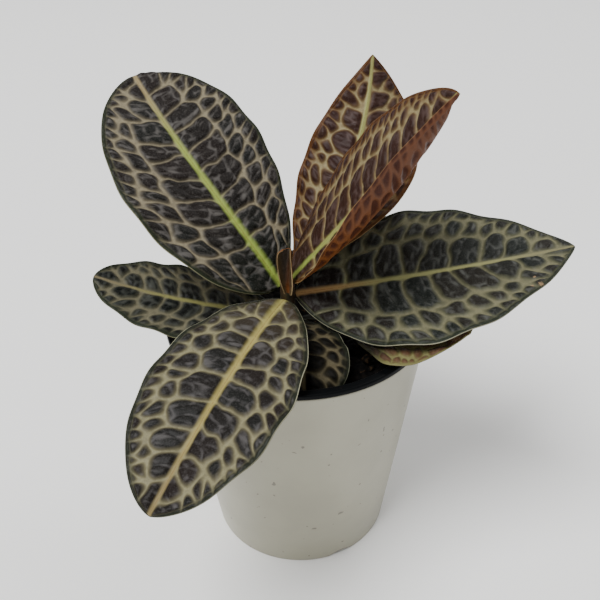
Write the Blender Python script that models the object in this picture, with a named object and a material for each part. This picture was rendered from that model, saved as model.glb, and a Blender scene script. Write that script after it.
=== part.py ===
"""Potted turtle back labisia: eight netted leaves and a young one on a short stem, rooted in soil
in a black nursery pot that hangs by its lip inside a tapered white pot.

Metres and degrees. The origin is the middle of the white pot's underside, +Z is up, -Y the front.
A leaf is an arc in space for its midrib, a half-width along it, and the fold and curl of each half.
Its net comes from ruled cell seeds: every cell is domed, and the veins between them lie lower."""

from dataclasses import dataclass

import bmesh
import bpy
import numpy as np
from mathutils import Matrix, Vector
from mathutils.geometry import delaunay_2d_cdt

# White pot
POT_HEIGHT = 0.1174
POT_TOP_RADIUS = 0.060
POT_BASE_RADIUS = 0.0441
POT_WALL = 0.002
POT_FLOOR = 0.004
POT_EDGE = 0.0006
POT_SIDES = 60
NOTCH_COUNT = 3
NOTCH_ANGLE = -64
NOTCH_WIDTH = 0.013
NOTCH_HEIGHT = 0.0024
NOTCH_DEPTH = 0.005
NOTCH_SIDES = 32

# Black nursery pot
GAP = 0.0003
LIP_REACH = 0.0004
LIP_WIDTH = 0.004
LIP_HEIGHT = 0.0024
LINER_WALL = 0.001
LINER_CLEARANCE = 0.0006
LINER_FOOT = 0.010
LINER_SIDES = 48

# Soil and stem
SOIL_LEVEL = 0.107
SOIL_MOUND = 0.0012
SOIL_RINGS = 5
STEM_PLACE = (-0.004, 0.002)
STEM_RADIUS = 0.0037
STEM_TOP = 0.1343
STEM_DEPTH = 0.014
STEM_CROWN = 0.0004
STEM_SIDES = 16

# Leaves
BLADE_THICKNESS = 0.0008
RIB_HALF_WIDTH = 0.0015
RIB_RISE = 0.0004
RIB_KEEL = 0.0012
KEEL_FULL_LENGTH = 0.05
PETIOLE_HALF_WIDTH = 0.0018
PETIOLE_FADE = 20
CELLS_FROM, CELLS_TO = 0.07, 0.975
CELL_JITTER = 0.26
JUNCTION_GAP = 0.0016
# Each row of cells: its place across the half-blade, its count beside the first row's, its dome.
CELL_ROWS = ((0.38, 1.0, 0.0010), (0.71, 1.3, 0.0009), (0.90, 1.65, 0.0005))


@dataclass
class Leaf:
    """Pairs are start and end of the midrib (rise, roll), or left and right half (all the others).

    A leaf grows straight out of the stem's side, or stands at a foot: azimuth and reach."""

    name: str
    height: float
    length: float
    azimuth: float
    turn: float
    rise: tuple
    half_width: tuple
    base_power: tuple
    tip_power: tuple
    roll: tuple = (0, 0)
    fold: tuple = (0, 0)
    curl: tuple = (0, 0)
    curl_power: float = 0.0
    rise_power: float = 1.0
    cells: int = 9
    lean: float = 0.35
    wave: float = 0.0008
    waves: float = 5
    foot: tuple = ()
    colour: tuple = (0.10, 0.095, 0.07)


LEAVES = (
    Leaf("leaf_upper_left", height=0.132, length=0.1284, azimuth=148.5, turn=-28, rise=(51.6, 25.7),
         half_width=(0.0402, 0.0408), base_power=(0.54, 0.615), tip_power=(0.66, 0.41),
         roll=(-8, -2), fold=(3, 1.4), rise_power=0.8, cells=9),
    Leaf("leaf_back", height=0.1335, length=0.1158, azimuth=37.2, turn=44.8, rise=(43.4, 51.8),
         half_width=(0.0246, 0.0299), base_power=(0.86, 1.56), tip_power=(1.01, 0.945),
         roll=(0.5, 21.9), fold=(-7.1, -17.3), colour=(0.17, 0.11, 0.07)),
    Leaf("leaf_front_folded", height=0.1358, length=0.1138, azimuth=-16.5, turn=-2.7,
         rise=(53.1, 54.5), half_width=(0.0342, 0.0369), base_power=(0.545, 1.02),
         tip_power=(0.684, 0.843), roll=(25.2, 44.3), fold=(-3.4, -4), curl=(-5.4, 120.7),
         curl_power=0.44, rise_power=1.23, foot=(0, 0.0012), cells=11, lean=0.45,
         wave=0.0004, colour=(0.20, 0.09, 0.06)),
    Leaf("leaf_right", height=0.1292, length=0.125, azimuth=-7, turn=9, rise=(12, 11),
         half_width=(0.0375, 0.0405), base_power=(0.73, 0.82), tip_power=(0.78, 0.85),
         roll=(29, 0), fold=(8, 3), lean=0.3, wave=0.0009),
    Leaf("leaf_lower_left", height=0.1275, length=0.1181, azimuth=-112.8, turn=-5.6, rise=(9.4, -25.5),
         half_width=(0.0338, 0.0300), base_power=(0.82, 0.79), tip_power=(0.62, 0.65),
         roll=(-3, 1), fold=(12, 12), rise_power=0.59, lean=0.3, wave=0.0010),
    Leaf("leaf_left", height=0.1185, length=0.0865, azimuth=185, turn=-8, rise=(9, 22),
         half_width=(0.024, 0.022), base_power=(0.71, 0.70), tip_power=(0.58, 0.56),
         roll=(-11, -4), fold=(-1, 6), cells=8),
    Leaf("leaf_front_shaded", height=0.1176, length=0.0531, azimuth=-80.4, turn=-5, rise=(9.8, -61.9),
         half_width=(0.0205, 0.0205), base_power=(0.70, 0.70), tip_power=(0.36, 0.36),
         fold=(5, 5), rise_power=2.6, cells=6),
    Leaf("leaf_lower_right", height=0.1155, length=0.0845, azimuth=-6.8, turn=-39.7, rise=(12.8, 8.9),
         half_width=(0.020, 0.0317), base_power=(1.3, 1.72), tip_power=(0.61, 0.685),
         roll=(2.5, 23.1), fold=(-4, -3.1), curl=(0, 27), cells=8, wave=0.0003,
         colour=(0.17, 0.15, 0.06)),
    Leaf("young_leaf", height=0.1327, length=0.0218, azimuth=43.6, turn=0, rise=(86.9, 83),
         half_width=(0.0079, 0.0051), base_power=(0.545, 0.39), tip_power=(0.08, 1.3),
         roll=(25.7, 21.7), fold=(31.8, 22.3), curl=(77.3, 51.5), cells=3, wave=0.0,
         foot=(-87.8, 0.0047), colour=(0.25, 0.12, 0.05)),
)


def clear_scene():
    for obj in list(bpy.data.objects):
        bpy.data.objects.remove(obj, do_unlink=True)


def material(name, colour, roughness, metallic=0.0):
    made = bpy.data.materials.new(name)
    made.use_nodes = True
    shader = made.node_tree.nodes["Principled BSDF"]
    shader.inputs["Base Color"].default_value = (*colour, 1.0)
    shader.inputs["Roughness"].default_value = roughness
    shader.inputs["Metallic"].default_value = metallic
    made.diffuse_color = (*colour, 1.0)
    return made


def add_object(name, mesh, finish, sharp_angle=40):
    obj = bpy.data.objects.new(name, mesh)
    bpy.context.scene.collection.objects.link(obj)
    mesh.shade_smooth()
    mesh.set_sharp_from_angle(angle=np.radians(sharp_angle))
    mesh.materials.append(finish)
    return obj


def turned(name, profile, sides, finish):
    """A closed profile of (radius, height) points, spun round the Z axis. Points at radius 0 meet."""
    bm = bmesh.new()
    verts = [bm.verts.new((radius, 0, height)) for radius, height in profile]
    loop = verts + verts[:1]
    edges = [bm.edges.new(pair) for pair in zip(loop, loop[1:]) if pair[0].co.x + pair[1].co.x > 0]
    bmesh.ops.spin(bm, geom=verts + edges, cent=(0, 0, 0), axis=(0, 0, 1),
                   angle=2 * np.pi, steps=sides, use_merge=True)
    bmesh.ops.remove_doubles(bm, verts=bm.verts, dist=1e-6)
    bmesh.ops.recalc_face_normals(bm, faces=bm.faces)
    mesh = bpy.data.meshes.new(name)
    bm.to_mesh(mesh)
    bm.free()
    return add_object(name, mesh, finish)


def pot_radius(height):
    """The white pot's outer radius at a height."""
    return POT_BASE_RADIUS + (POT_TOP_RADIUS - POT_BASE_RADIUS) * height / POT_HEIGHT


def white_pot():
    finish = material("white_plastic", (0.72, 0.71, 0.66), 0.35)
    edge = POT_EDGE
    profile = [(0, 0), (POT_BASE_RADIUS - edge, 0), (POT_BASE_RADIUS, edge),
               (POT_TOP_RADIUS, POT_HEIGHT - edge), (POT_TOP_RADIUS - edge, POT_HEIGHT),
               (POT_TOP_RADIUS - POT_WALL, POT_HEIGHT),
               (pot_radius(POT_FLOOR) - POT_WALL, POT_FLOOR), (0, POT_FLOOR)]
    pot = turned("white_pot", profile, POT_SIDES, finish)
    for index in range(NOTCH_COUNT):
        cut_notch(pot, index)


def cut_notch(pot, index):
    """An arch in the bottom edge: a short cylinder lying along the pot's radius, mostly below it."""
    radius = (NOTCH_WIDTH ** 2 / 4 + NOTCH_HEIGHT ** 2) / (2 * NOTCH_HEIGHT)
    angle = np.radians(NOTCH_ANGLE + index * 360 / NOTCH_COUNT)
    bm = bmesh.new()
    bmesh.ops.create_cone(bm, cap_ends=True, segments=NOTCH_SIDES, radius1=radius, radius2=radius,
                          depth=2 * NOTCH_DEPTH)
    bmesh.ops.transform(bm, verts=bm.verts, matrix=Matrix.Rotation(np.pi / 2, 4, "Y"))
    mesh = bpy.data.meshes.new(f"notch_{index}")
    bm.to_mesh(mesh)
    bm.free()
    cutter = bpy.data.objects.new(f"notch_{index}", mesh)
    bpy.context.scene.collection.objects.link(cutter)
    place = (POT_BASE_RADIUS * np.cos(angle), POT_BASE_RADIUS * np.sin(angle))
    cutter.location = (*place, NOTCH_HEIGHT - radius)
    cutter.rotation_euler = (0, 0, angle)
    cutter.hide_render = True
    cutter.display_type = "WIRE"
    cut = pot.modifiers.new(f"notch_{index}", "BOOLEAN")
    cut.operation = "DIFFERENCE"
    cut.object = cutter


def liner_radius(height):
    """The nursery pot's outer radius at a height, just inside the white pot's wall."""
    return pot_radius(height) - POT_WALL - LINER_CLEARANCE


def nursery_pot():
    finish = material("black_plastic", (0.012, 0.012, 0.014), 0.4)
    seat = POT_HEIGHT + GAP
    outer = POT_TOP_RADIUS + LIP_REACH
    inner = outer - LIP_WIDTH
    top = seat + LIP_HEIGHT
    round_off = LIP_HEIGHT / 3
    inside_foot = liner_radius(LINER_FOOT) - LINER_WALL
    profile = [(0, LINER_FOOT), (liner_radius(LINER_FOOT), LINER_FOOT),
               (liner_radius(seat), seat), (outer, seat), (outer, top - round_off),
               (outer - round_off, top), (inner + round_off, top), (inner, top - round_off),
               (inside_foot, LINER_FOOT + LINER_WALL), (0, LINER_FOOT + LINER_WALL)]
    turned("nursery_pot", profile, LINER_SIDES, finish)


def soil():
    """Rings slide from the stem's hole out to the liner's wall, with low mounds between."""
    finish = material("soil", (0.012, 0.010, 0.008), 0.95)
    top_radius = POT_TOP_RADIUS + LIP_REACH - LIP_WIDTH
    foot_radius = liner_radius(LINER_FOOT) - LINER_WALL
    share = (SOIL_LEVEL - LINER_FOOT) / (POT_HEIGHT + LIP_HEIGHT - LINER_FOOT)
    wall = foot_radius + (top_radius - foot_radius) * share - 2 * GAP
    hole = STEM_RADIUS + GAP
    around = np.linspace(0, 2 * np.pi, LINER_SIDES, endpoint=False)
    place = np.array(STEM_PLACE)
    rings = []
    for part in np.linspace(0, 1, SOIL_RINGS + 1):
        centre = place * (1 - part)
        radius = hole + (wall - hole) * part
        x = centre[0] + radius * np.cos(around)
        y = centre[1] + radius * np.sin(around)
        bump = np.sin(310 * x + 1) * np.cos(260 * y) + 0.6 * np.sin(700 * y + 400 * x)
        z = SOIL_LEVEL + SOIL_MOUND * bump * np.sin(np.pi * part) ** 0.5
        rings.append(np.stack([x, y, z], 1))
    foot = foot_radius - 2 * GAP
    floor = LINER_FOOT + LINER_WALL + GAP
    rings.append(np.stack([foot * np.cos(around), foot * np.sin(around), floor + 0 * around], 1))
    bottom = SOIL_LEVEL - STEM_DEPTH - GAP
    hole_foot = rings[0] * (1, 1, 0) + (0, 0, bottom)
    rings.insert(0, hole_foot)
    points = np.vstack(rings)
    last = len(points) - LINER_SIDES
    faces = [tuple(range(LINER_SIDES)), tuple(range(last, len(points)))]
    faces += ring_faces(len(rings), LINER_SIDES)
    add_object("soil", solid_mesh("soil", points, faces), finish, 80)


def ring_faces(rings, sides):
    """Quads between rings of points that follow each other, counted round and then along."""
    found = []
    for ring in range(rings - 1):
        for index in range(sides):
            after = (index + 1) % sides
            low, high = ring * sides, (ring + 1) * sides
            found.append((low + index, low + after, high + after, high + index))
    return found


def solid_mesh(name, points, faces):
    mesh = bpy.data.meshes.new(name)
    mesh.from_pydata(points.tolist(), [], faces)
    bm = bmesh.new()
    bm.from_mesh(mesh)
    bmesh.ops.recalc_face_normals(bm, faces=bm.faces)
    bm.to_mesh(mesh)
    bm.free()
    return mesh


def stem_radius(height):
    """The stem narrows upwards and swells a little at each ring where a leaf joins it."""
    foot = SOIL_LEVEL - STEM_DEPTH
    share = (height - foot) / (STEM_TOP - foot)
    return STEM_RADIUS * (1 - 0.08 * share) * (1 - 0.04 * np.sin(np.pi * height / 0.0045) ** 2)


def stem():
    finish = material("stem", (0.20, 0.13, 0.05), 0.6)
    heights = np.linspace(SOIL_LEVEL - STEM_DEPTH, STEM_TOP - STEM_CROWN, 19)
    around = np.linspace(0, 2 * np.pi, STEM_SIDES, endpoint=False)
    rings = [np.stack([r * np.cos(around), r * np.sin(around), z + 0 * around], 1)
             for r, z in zip(stem_radius(heights), heights)]
    rings.append(rings[-1] * (0.8, 0.8, 1) + (0, 0, STEM_CROWN))
    points = np.vstack(rings) + (*STEM_PLACE, 0)
    last = len(points) - STEM_SIDES
    faces = ring_faces(len(rings), STEM_SIDES)
    faces += [tuple(range(STEM_SIDES)), tuple(range(last, len(points)))]
    add_object("stem", solid_mesh("stem", points, faces), finish)


def half_width(leaf, u, left):
    """Half the blade's width at u along the midrib: u^a (1-u)^b, and the petiole's own width."""
    a, b, widest = (np.where(left, *pair)
                    for pair in (leaf.base_power, leaf.tip_power, leaf.half_width))
    peak = (a / (a + b)) ** a * (b / (a + b)) ** b
    return widest * u ** a * (1 - u) ** b / peak + PETIOLE_HALF_WIDTH * (1 - u) ** PETIOLE_FADE


def rib_half_width(leaf, u, left):
    """The midrib narrows towards the tip and stays inside the blade."""
    return np.minimum(RIB_HALF_WIDTH * (1 - 0.6 * u), 0.5 * half_width(leaf, u, left))


def midrib(leaf, u):
    """Points of the midrib at u, with its sideways and upward directions there."""
    fine = np.linspace(0, 1, 241)
    rise = np.radians(leaf.rise[0] + (leaf.rise[1] - leaf.rise[0]) * fine ** leaf.rise_power)
    heading = np.radians(leaf.azimuth + leaf.turn * fine)
    ahead = np.stack([np.cos(rise) * np.cos(heading), np.cos(rise) * np.sin(heading), np.sin(rise)], 1)
    steps = (ahead[1:] + ahead[:-1]) / 2 * leaf.length / (len(fine) - 1)
    at, reach = heading[0], stem_radius(leaf.height) + GAP + RIB_RISE * np.sin(rise[0])
    if leaf.foot:
        at, reach = np.radians(leaf.foot[0]), leaf.foot[1]
    start = np.array([STEM_PLACE[0] + reach * np.cos(at), STEM_PLACE[1] + reach * np.sin(at),
                      leaf.height])
    points = start + np.vstack([np.zeros(3), np.cumsum(steps, axis=0)])
    side = np.stack([-np.sin(heading), np.cos(heading), 0 * heading], 1)
    up = np.cross(ahead, side)
    roll = np.radians(leaf.roll[0] + (leaf.roll[1] - leaf.roll[0]) * fine)[:, None]
    sideways = np.cos(roll) * side + np.sin(roll) * up
    upward = np.cos(roll) * up - np.sin(roll) * side
    return [np.stack([np.interp(u, fine, line[:, k]) for k in range(3)], 1)
            for line in (points, sideways, upward)]


def blade(leaf, u, q, lift):
    """Points of the leaf at u along and q across (-1 to 1), lifted along the blade's own normal.

    Each half is an arc that leaves the midrib at its fold angle and turns to the margin by its
    curl, which grows along the leaf as u^curl_power."""
    left = q >= 0
    turn = np.radians(np.where(left, *leaf.curl)) * u ** leaf.curl_power + 1e-6
    fold = np.radians(np.where(left, *leaf.fold))
    across = np.abs(q)
    angle = fold + turn * across
    width = half_width(leaf, u, left)
    out = width * (np.sin(angle) - np.sin(fold)) / turn
    rise = width * (np.cos(fold) - np.cos(angle)) / turn
    ripple = leaf.wave * across ** 3 * np.sin(2 * np.pi * leaf.waves * u + np.where(left, 0.6, 2.4))
    sign = np.where(left, 1.0, -1.0)
    lift = lift + ripple * np.sin(np.pi * u) ** 0.5
    out = sign * (out - lift * np.sin(angle))
    rise = rise + lift * np.cos(angle)
    points, sideways, upward = midrib(leaf, u)
    return points + out[:, None] * sideways + rise[:, None] * upward


def forward(leaf, offset):
    """How far a side vein has run towards the tip at an offset from the midrib: it leaves nearly
    square and bends forward, as lean offset (0.4 + offset / widest)."""
    return leaf.lean * offset * (0.4 + offset / max(leaf.half_width))


def slide(leaf, points, sign):
    """Moves points of one half along the leaf by sign times the run of the side veins there."""
    return np.stack([points[:, 0] + sign * forward(leaf, np.abs(points[:, 1])), points[:, 1]], 1)


def cell_seeds(leaf, side, seed):
    """Middles of the cells on one half, as (along, across) metres, with each one's dome."""
    random = np.random.default_rng(seed)
    found, domes = [], []
    for across, share, dome in CELL_ROWS:
        count = round(leaf.cells * share)
        spacing = leaf.length * (CELLS_TO - CELLS_FROM) / count
        for index in range(count):
            shift, slip = random.uniform(-1, 1, 2)
            u = CELLS_FROM + (CELLS_TO - CELLS_FROM) * (index + 0.5 + CELL_JITTER * shift) / count
            place = across + 0.05 * slip
            x = u * leaf.length
            along = x
            for _ in range(6):
                offset = place * half_width(leaf, np.clip(along / leaf.length, 0, 1), side > 0)
                along = min(x + forward(leaf, offset), 0.99 * leaf.length)
            candidate = np.array([along, offset])
            apart = [np.linalg.norm(candidate - other) for other in found]
            if min(apart, default=1) > 0.55 * spacing and offset > RIB_HALF_WIDTH:
                found.append(candidate)
                domes.append(dome)
    return np.array(found), np.array(domes)


def triangles(points):
    """Delaunay triangles of points in a plane."""
    return np.array(delaunay_2d_cdt([Vector(p) for p in points], [], [], 0, 1e-7)[2])


def circumcentres(corners):
    """Middles of the circles through the three corners of each triangle."""
    a, b, c = corners[:, 0], corners[:, 1] - corners[:, 0], corners[:, 2] - corners[:, 0]
    twice = 2 * (b[:, 0] * c[:, 1] - b[:, 1] * c[:, 0])
    b2, c2 = (b ** 2).sum(1), (c ** 2).sum(1)
    x = (c[:, 1] * b2 - b[:, 1] * c2) / twice
    y = (b[:, 0] * c2 - c[:, 0] * b2) / twice
    return a + np.stack([x, y], 1)


def net(leaf, side, seed):
    """The cells' seeds on one half, the junctions of its veins, and the veins as pairs of them.

    Every seed is mirrored in the midrib and in the margin, so the cells end there. The cells are
    laid out in a plane slid back along the leaf, in which the side veins run straight across."""
    seeds, domes = cell_seeds(leaf, side, seed)
    u = np.linspace(0, 1, 400)
    margin = slide(leaf, np.stack([u * leaf.length, half_width(leaf, u, side > 0)], 1), -1)
    flat = slide(leaf, seeds, -1)
    nearest = margin[np.linalg.norm(flat[:, None] - margin[None], axis=2).argmin(1)]
    far = leaf.length * np.array([[-3, -3], [4, -3], [4, 3], [-3, 3]])
    cloud = np.vstack([flat, flat * (1, -1), 2 * nearest - flat, far])
    faces = triangles(cloud)
    centres = circumcentres(cloud[faces])
    real = len(seeds)
    owners = {}
    for index, face in enumerate(faces):
        for a, b in ((0, 1), (1, 2), (2, 0)):
            owners.setdefault(tuple(sorted((face[a], face[b]))), []).append(index)
    on_rib = ((faces >= real) & (faces < 2 * real)).any(1)
    on_margin = (faces >= 2 * real).any(1)
    veins = [pair for (a, b), pair in owners.items() if b < real and len(pair) == 2]
    return seeds, domes, slide(leaf, centres, 1), on_rib, on_margin, veins


def marks(wanted, regular, least):
    """Places along a line: the wanted ones, joined where they crowd, and the regular ones between."""
    kept = []
    for mark in sorted(wanted):
        if not kept or mark - kept[-1] > least:
            kept.append(mark)
    ends = (regular[0], regular[-1])
    kept = [k for k in kept if min(abs(k - ends[0]), abs(k - ends[1])) > least]
    kept += [r for r in regular if r in ends or all(abs(r - k) > least for k in kept)]
    return np.array(sorted(kept))


class Plane:
    """Points of the flat blade with their dome and rib lifts, and the lines that its faces keep."""

    def __init__(self):
        self.points, self.top, self.keel, self.edges = [], [], [], []

    def add(self, point, top=0.0, keel=0.0):
        self.points.append(point)
        self.top.append(top)
        self.keel.append(keel)
        return len(self.points) - 1

    def line(self, points):
        indices = [self.add(p) for p in points]
        self.edges += list(zip(indices, indices[1:]))
        return indices


def leaf_plane(leaf, seed):
    """The flat blade: margins, midrib and its two edges, the veins' junctions and the cells."""
    plane = Plane()
    length = leaf.length
    regular = (1 - np.cos(np.linspace(0, np.pi, 19))) / 2
    least = JUNCTION_GAP / length
    tip = plane.add((length, 0.0))
    centre = regular[1:-1]
    keel = RIB_KEEL * min(1, length / KEEL_FULL_LENGTH)
    start = plane.add((0.0, 0.0), RIB_RISE, keel)
    fade = 1 - 0.7 * centre
    middle = [start] + [plane.add((u * length, 0.0), RIB_RISE * f, keel * f)
                        for u, f in zip(centre, fade)] + [tip]
    plane.edges += list(zip(middle, middle[1:]))
    for side in (1, -1):
        seeds, domes, junctions, on_rib, on_margin, veins = net(leaf, side, seed + side)
        used = sorted({j for pair in veins for j in pair})
        inside = half_width(leaf, np.clip(junctions[:, 0] / length, 0, 1), side > 0)
        on_margin = on_margin | (junctions[:, 1] > 0.97 * inside)
        u = np.clip(junctions[:, 0] / length, 0.02, 0.985)
        lines, spots = {}, {}
        for kind, chosen, width in (("rib", on_rib & ~on_margin, rib_half_width),
                                    ("margin", on_margin, half_width)):
            spots[kind] = marks([u[j] for j in used if chosen[j]], regular, least)[:-1]
            across = side * width(leaf, spots[kind], side > 0)
            lines[kind] = plane.line(list(zip(spots[kind] * length, across)))
            plane.edges.append((lines[kind][-1], tip))
        plane.edges += [(start, lines["rib"][0]), (lines["rib"][0], lines["margin"][0])]
        index, inner = {}, []
        for j in used:
            if on_margin[j] or on_rib[j]:
                kind = "margin" if on_margin[j] else "rib"
                index[j] = lines[kind][np.abs(spots[kind] - u[j]).argmin()]
                continue
            across = max(junctions[j, 1], 1.6 * rib_half_width(leaf, u[j], side > 0))
            point = np.array([junctions[j, 0], side * across])
            close = [k for k in inner if np.linalg.norm(point - plane.points[k]) < JUNCTION_GAP]
            index[j] = close[0] if close else plane.add(point)
            inner.append(index[j])
        plane.edges += [(index[a], index[b]) for a, b in veins if index[a] != index[b]]
        for (along, across), dome in zip(seeds, domes):
            plane.add((along, side * across), dome)
    return plane


def leaf_mesh(leaf, seed):
    """The blade's plane cut into triangles, lifted to its place, and doubled at its thickness."""
    plane = leaf_plane(leaf, seed)
    coords, _, faces, origins, _, _ = delaunay_2d_cdt(
        [Vector(p) for p in plane.points], plane.edges, [], 1, 1e-6)
    flat = np.array([tuple(c) for c in coords], float)
    faces = np.array([f for f in faces], int)
    top = np.array([plane.top[o[0]] if o else 0.0 for o in origins])
    keel = np.array([plane.keel[o[0]] if o else 0.0 for o in origins])
    corners = flat[faces]
    turn = np.cross(corners[:, 1] - corners[:, 0], corners[:, 2] - corners[:, 0])
    faces[turn < 0] = faces[turn < 0][:, ::-1]
    u = np.clip(flat[:, 0] / leaf.length, 0, 1)
    width = half_width(leaf, u, flat[:, 1] >= 0)
    q = np.clip(flat[:, 1] / np.maximum(width, 1e-6), -1, 1)
    upper = blade(leaf, u, q, top)
    lower = blade(leaf, u, q, top - BLADE_THICKNESS - keel)
    count = len(flat)
    ends = np.concatenate([faces[:, [0, 1]], faces[:, [1, 2]], faces[:, [2, 0]]])
    present = {tuple(e) for e in ends.tolist()}
    rim = np.array([e for e in ends.tolist() if (e[1], e[0]) not in present])
    sides = [np.stack([rim[:, 1], rim[:, 0], rim[:, 0] + count], 1),
             np.stack([rim[:, 1], rim[:, 0] + count, rim[:, 1] + count], 1)]
    every = np.vstack([faces, faces[:, ::-1] + count, *sides])
    mesh = bpy.data.meshes.new(leaf.name)
    mesh.from_pydata(np.vstack([upper, lower]).tolist(), [], every.tolist())
    return mesh


def build():
    clear_scene()
    white_pot()
    nursery_pot()
    soil()
    stem()
    for index, leaf in enumerate(LEAVES):
        finish = material(leaf.name, leaf.colour, 0.5)
        add_object(leaf.name, leaf_mesh(leaf, 10 * index + 5), finish, 60)


build()
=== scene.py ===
"""Potted turtle back labisia: netted leaves on a short stem, in a nursery pot inside a white pot.

Lengths are metres and angles degrees. A leaf is one closed surface: points at u along its midrib
and q across it, lifted by the relief of its vein net. The net's distances are kept on the points,
and the leaf's material paints veins, cells, midrib and rim from them."""

from dataclasses import dataclass, fields

import bpy
import numpy as np
from mathutils import Matrix

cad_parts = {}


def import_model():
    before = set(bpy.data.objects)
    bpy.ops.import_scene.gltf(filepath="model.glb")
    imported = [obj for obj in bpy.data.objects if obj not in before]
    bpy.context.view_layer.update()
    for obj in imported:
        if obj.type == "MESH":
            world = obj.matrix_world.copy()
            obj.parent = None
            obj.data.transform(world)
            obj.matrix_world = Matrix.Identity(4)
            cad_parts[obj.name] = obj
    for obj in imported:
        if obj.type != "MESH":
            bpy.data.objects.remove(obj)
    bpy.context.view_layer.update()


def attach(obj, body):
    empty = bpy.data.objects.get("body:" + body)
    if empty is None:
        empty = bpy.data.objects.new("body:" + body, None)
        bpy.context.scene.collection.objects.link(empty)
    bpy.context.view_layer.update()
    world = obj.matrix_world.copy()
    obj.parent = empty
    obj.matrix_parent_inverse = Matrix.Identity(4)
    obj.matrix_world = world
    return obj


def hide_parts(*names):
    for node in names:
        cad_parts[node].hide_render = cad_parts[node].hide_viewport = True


MILLIMETRES = 1000
LATTICE = 64  # places along each side before a random pattern repeats
HAIR = 0.0001  # the least distance between two rings of a profile

# White pot
POT_HEIGHT = 0.1174
POT_TOP_RADIUS = 0.060
POT_BASE_RADIUS = 0.0441
POT_WALL = 0.002
POT_FLOOR = 0.004
POT_RIM_ROUND = 0.0008
POT_FOOT_ROUND = 0.0007
POT_SIDES = 240
NOTCH_ANGLES = (-64, 56, 176)
NOTCH_WIDTH = 0.013
NOTCH_HEIGHT = 0.0024
NOTCH_DEPTH = 0.005
NOTCH_INNER_RADIUS = POT_BASE_RADIUS - NOTCH_DEPTH

# Nursery pot
LINER_FOOT = 0.010
LINER_GAP = 0.0006
LINER_FLOOR = 0.001
LINER_SIDES = 200
LIP_RADIUS = 0.0604
LIP_WIDTH = 0.004
LIP_BOTTOM = 0.1177
LIP_TOP = 0.1201
LIP_ROUND = 0.001
LIP_UNDER_ROUND = 0.0003

# Soil, with lumps as (rise, width), and the bits on it, as half lengths, widths and heights
SOIL_LEVEL = 0.107
SOIL_FOOT = LINER_FOOT + 0.0015
SOIL_TOP_INSET = 0.0026
SOIL_FOOT_INSET = 0.0024
SOIL_LUMPS = ((0.0012, 0.009), (0.0009, 0.0032), (0.0005, 0.0014))
SOIL_RINGS, SOIL_SIDES = 110, 360
BIT_COUNT = 170
BIT_SIZE = (0.0034, 0.0019, 0.0012)
BIT_SPREAD = 0.052
BIT_LIFT = 0.0008
BIT_LUMPS = 0.22
BARK_PLACE = (0.031, -0.024, 0.110)
BARK_SIZE = (0.0026, 0.0020, 0.0026)

# Stem
STEM_PLACE = (-0.004, 0.002)
STEM_RADIUS = 0.0037
STEM_TOP = 0.1343
STEM_FOOT = 0.093
STEM_IN_SOIL = 0.006
STEM_TAPER = 0.08
STEM_ROUND = 0.0012
RING_SWELL = 0.04
RING_PITCH = 0.0045

# Leaves
GAP = 0.0003
MIDRIB_POINTS = 241
RIB_RISE = 0.0004
RIB_TAPER = 0.55
KEEL_DEPTH = 0.0010
KEEL_FULL_LENGTH = 0.05
PETIOLE_HALF_WIDTH = 0.0018
PETIOLE_FADE = 20
BLADE_THICKNESS = 0.0007
EDGE_BULGE = 0.0002
WAVE_PHASES = (0.6, 2.4)
ROLLED_CURL = 50
ROW_SPACING = 1.04

# Vein net, with rows of cells as (place across the half, cells for each of the leaf's own count)
CELLS_FROM, CELLS_TO = 0.07, 0.975
CELL_ROWS = ((0.37, 1.0), (0.70, 1.3), (0.89, 1.9))
CELL_JITTER = 0.26
CELL_SLIP = 0.05
CELLS_APART = 0.55
CELL_FROM_MIDRIB = 0.0015
CELL_RISE = 0.0010
CELL_SLOPE = 0.003
CELL_CORNERS = 0.0009
FINE_RISE = 0.0004
FINE_SLOPE = 0.0018
FINE_CORNERS = 0.0004
FINE_JITTER = 0.38
NET_BEND, NET_BEND_WIDTH = 0.0011, 0.0055
LOOP_INSET = 0.0018
LOOP_WANDER, LOOP_WANDER_WIDTH = 0.0006, 0.005
LOOP_CORNERS = 0.0004
MARGIN_FADE = 0.0018
MIDRIB_FADE = 0.003

# Small marks, as surface colours
RIB_LINE_BROWN = (0.16, 0.08, 0.03, 1)
DRY_BROWN = (0.26, 0.17, 0.09, 1)
DIRT = (0.05, 0.04, 0.03, 1)

# Stage, with lights as (name, place, width, watts)
FLOOR_REACH = 6
FLOOR_COLOUR = (0.95, 0.95, 0.94, 1)
DAYLIGHT = 0.5
LIGHTS = (("window", (-2.0, -1.6, 5.0), 3.4, 400), ("fill", (2.5, 2.0, 4.0), 3.0, 60))
LIGHTS_TARGET = (0, 0, 0.12)
CAMERA_PLACE = (0.0016, -0.2918, 0.3135)
CAMERA_PITCH = 32.62
CAMERA_TILT = 1.17
SENSOR_WIDTH = 36
FOCAL_PIXELS, PICTURE_PIXELS = 753.7, 600


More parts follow.
